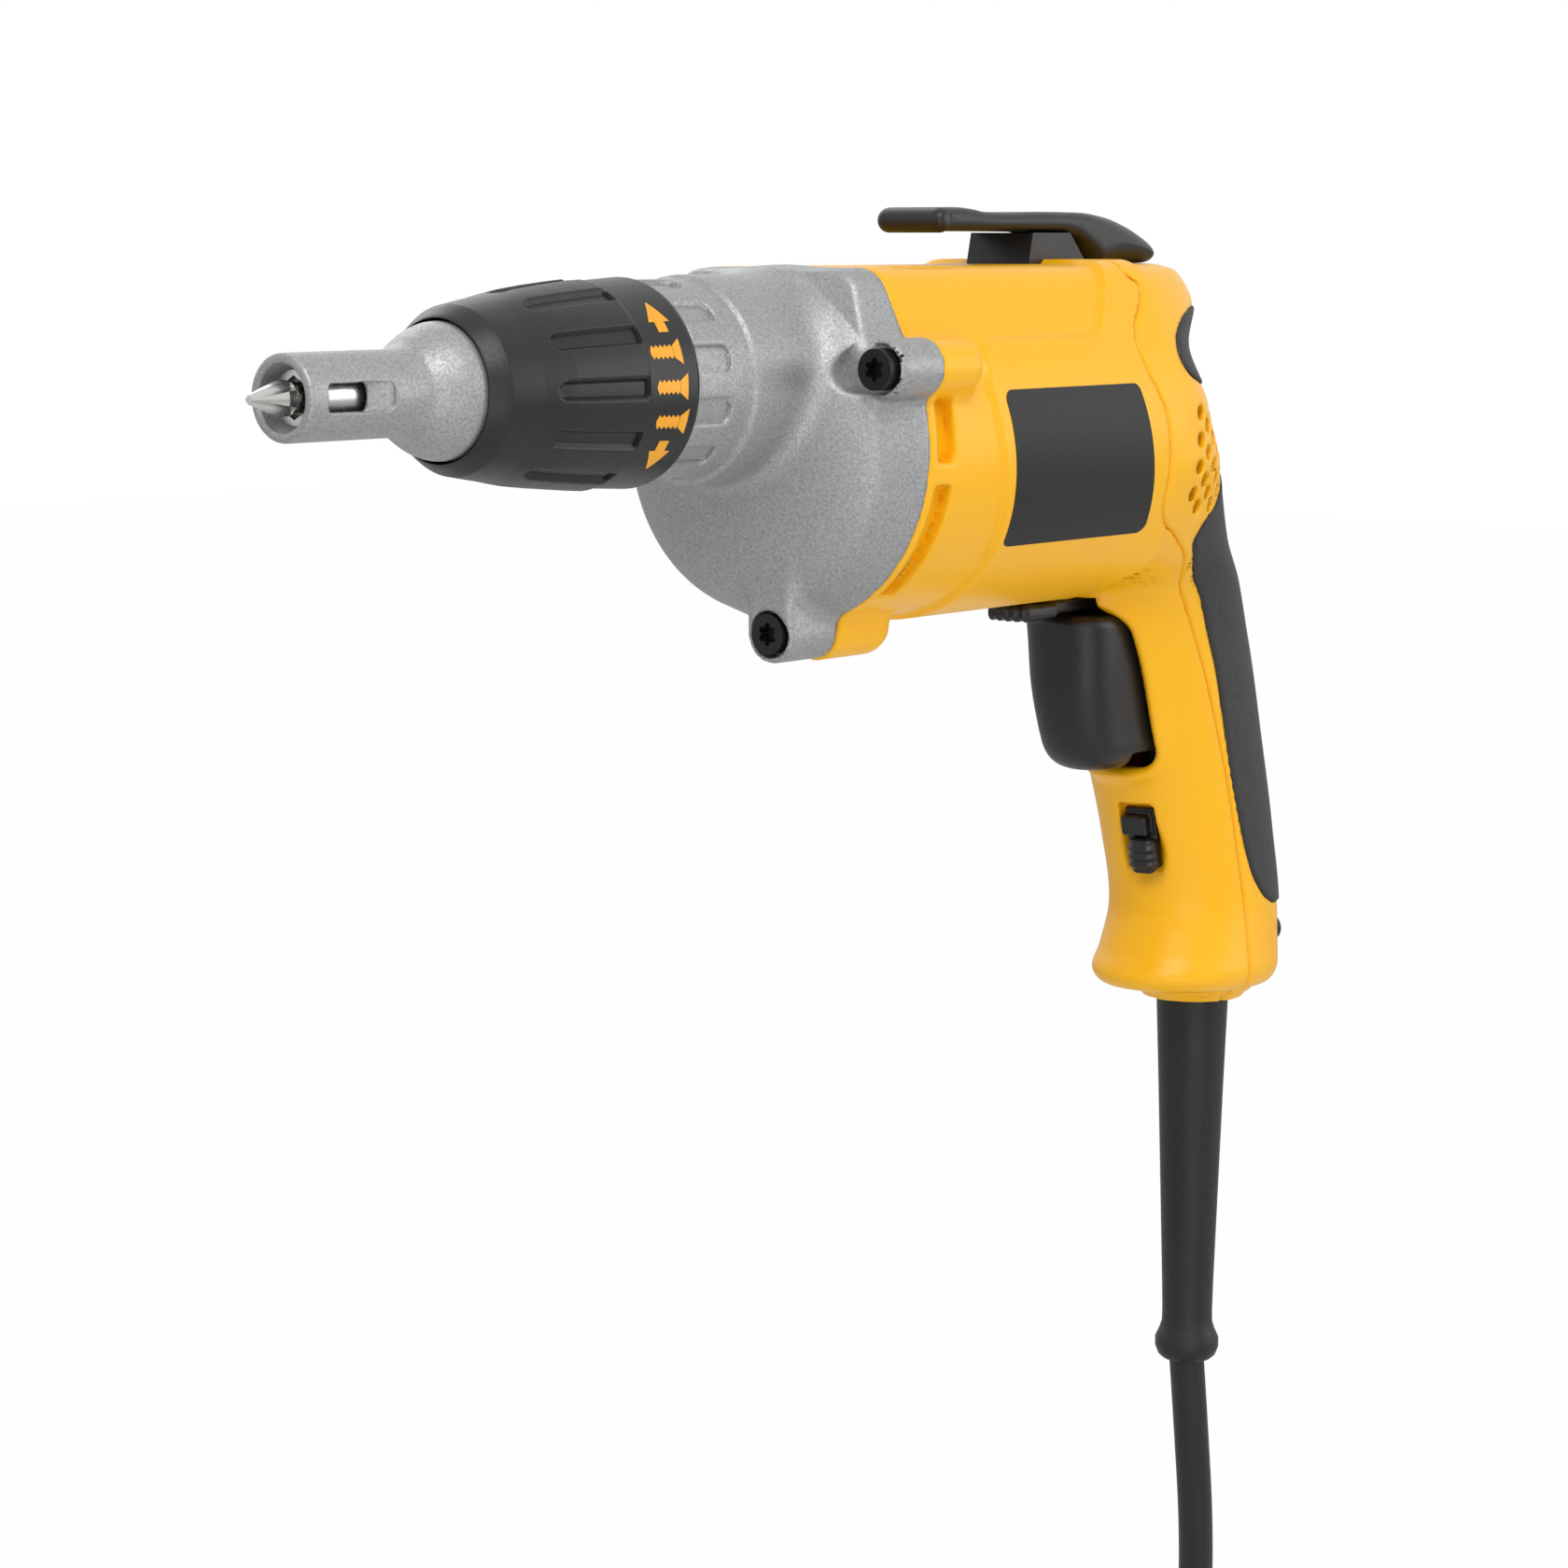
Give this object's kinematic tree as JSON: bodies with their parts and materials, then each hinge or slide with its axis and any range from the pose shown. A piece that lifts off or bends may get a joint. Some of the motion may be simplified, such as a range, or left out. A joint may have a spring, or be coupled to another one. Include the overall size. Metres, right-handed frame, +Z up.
{
  "type": "drywall screwdriver",
  "caption": "Corded drywall screwdriver with a depth-setting nosepiece, ribbed collar, cast gear case, pistol grip, trigger, reversing lever, lock slide, belt clip and mains cord.",
  "frame": {"origin": "middle of the hand grip, on the tool's middle plane", "axes": "-X towards the nose and the screw, +Y to the tool's right, +Z up"},
  "size_m": [0.3046, 0.0812, 0.5919],
  "materials": {
    "cast_case": "fine cast grain",
    "yellow_shell": "fine moulded grain",
    "black_plastic": "fine moulded grain",
    "black_rubber": "matte",
    "cord_jacket": "matte",
    "steel": "ground",
    "black_steel": "black oxide",
    "copper": "enamelled wire",
    "bronze": "sintered",
    "carbon": "pressed carbon",
    "blade_metal": "plain"
  },
  "bodies": {
    "frame": {"spindle_bush": "bronze", "gear_bush": "bronze", "gear_plate": "cast_case", "retaining_ring": "black_steel", "nose_o_ring": "black_rubber", "gear_case": "cast_case", "gear_case_screws": "black_steel", "front_bearing": "steel", "rear_bearing": "steel", "fan_baffle": "black_plastic", "field_core": "steel", "field_coils": "copper", "brushes": "carbon", "brush_holders": "blade_metal", "brush_springs": "steel", "motor_housing": "yellow_shell", "rear_cover": "yellow_shell", "back_grip": "black_rubber", "thumb_pad": "black_rubber", "cover_screws": "black_steel", "trigger_spring": "steel", "switch_body": "black_plastic", "belt_clip": "black_plastic", "clip_base": "black_plastic", "clip_screws": "black_steel", "cord_protector": "black_rubber", "cord_clamp": "black_plastic", "clamp_screws": "steel", "inner_lead": "cord_jacket", "cord": "cord_jacket", "cord_hank": "cord_jacket", "cord_tie": "black_rubber", "plug_body": "black_rubber", "plug_blades": "blade_metal"},
    "nose": {"nosepiece": "cast_case"},
    "collar": {"adjusting_collar": "black_plastic"},
    "thrust": {"thrust_washer": "steel"},
    "spindle": {"output_spindle": "steel", "bit_holder": "steel", "holder_magnet": "steel", "holder_ball": "steel", "ball_clip": "black_steel", "screwdriver_bit": "steel"},
    "gear": {"drive_gear": "steel", "clutch_spring": "steel"},
    "armature": {"armature_shaft": "steel", "armature_core": "steel", "armature_windings": "copper", "commutator": "copper", "fan": "black_plastic"},
    "trigger": {"trigger": "black_plastic"},
    "reversing_lever": {"reversing_lever": "black_plastic"},
    "lock_slide": {"lock_slide": "black_plastic"}
  },
  "joints": [
    {"name": "collar_turn", "type": "hinge", "parent": "frame", "child": "collar", "pos_m": [-0.208, 0, 0.095], "axis": [1, 0, 0], "range_deg": [-180, 180]},
    {"name": "nose_depth", "type": "slide", "parent": "frame", "child": "nose", "axis": [1, 0, 0], "range_m": [-0.003, 0.003]},
    {"name": "spindle_push", "type": "slide", "parent": "frame", "child": "thrust", "axis": [1, 0, 0], "range_m": [0, 0.0026], "stiffness_N_per_m": 3000, "deforming": ["clutch_spring"]},
    {"name": "spindle_spin", "type": "hinge", "parent": "thrust", "child": "spindle", "pos_m": [-0.208, 0, 0.095], "axis": [1, 0, 0], "continuous": true},
    {"name": "armature_spin", "type": "hinge", "parent": "frame", "child": "armature", "pos_m": [-0.108, 0, 0.0817], "axis": [1, 0, 0], "continuous": true},
    {"name": "gear_spin", "type": "hinge", "parent": "frame", "child": "gear", "pos_m": [-0.158, 0, 0.095], "axis": [1, 0, 0], "continuous": true},
    {"name": "trigger_pull", "type": "slide", "parent": "frame", "child": "trigger", "axis": [1, 0, 0], "range_m": [0, 0.007], "stiffness_N_per_m": 1200, "deforming": ["trigger_spring"]},
    {"name": "reverse_swing", "type": "hinge", "parent": "frame", "child": "reversing_lever", "pos_m": [-0.018, 0, 0.0437], "axis": [0, 0, 1], "range_deg": [-8, 8]},
    {"name": "lock_push", "type": "slide", "parent": "frame", "child": "lock_slide", "axis": [-0.2574, -0.12, 0.9588], "range_m": [0, 0.003], "stiffness_N_per_m": 700}
  ],
  "couplings": [
    {"joint": "gear_spin", "follows": "armature_spin", "ratio": -0.21212},
    {"joint": "nose_depth", "follows": "collar_turn", "m_per_rad": 0.00095}
  ]
}
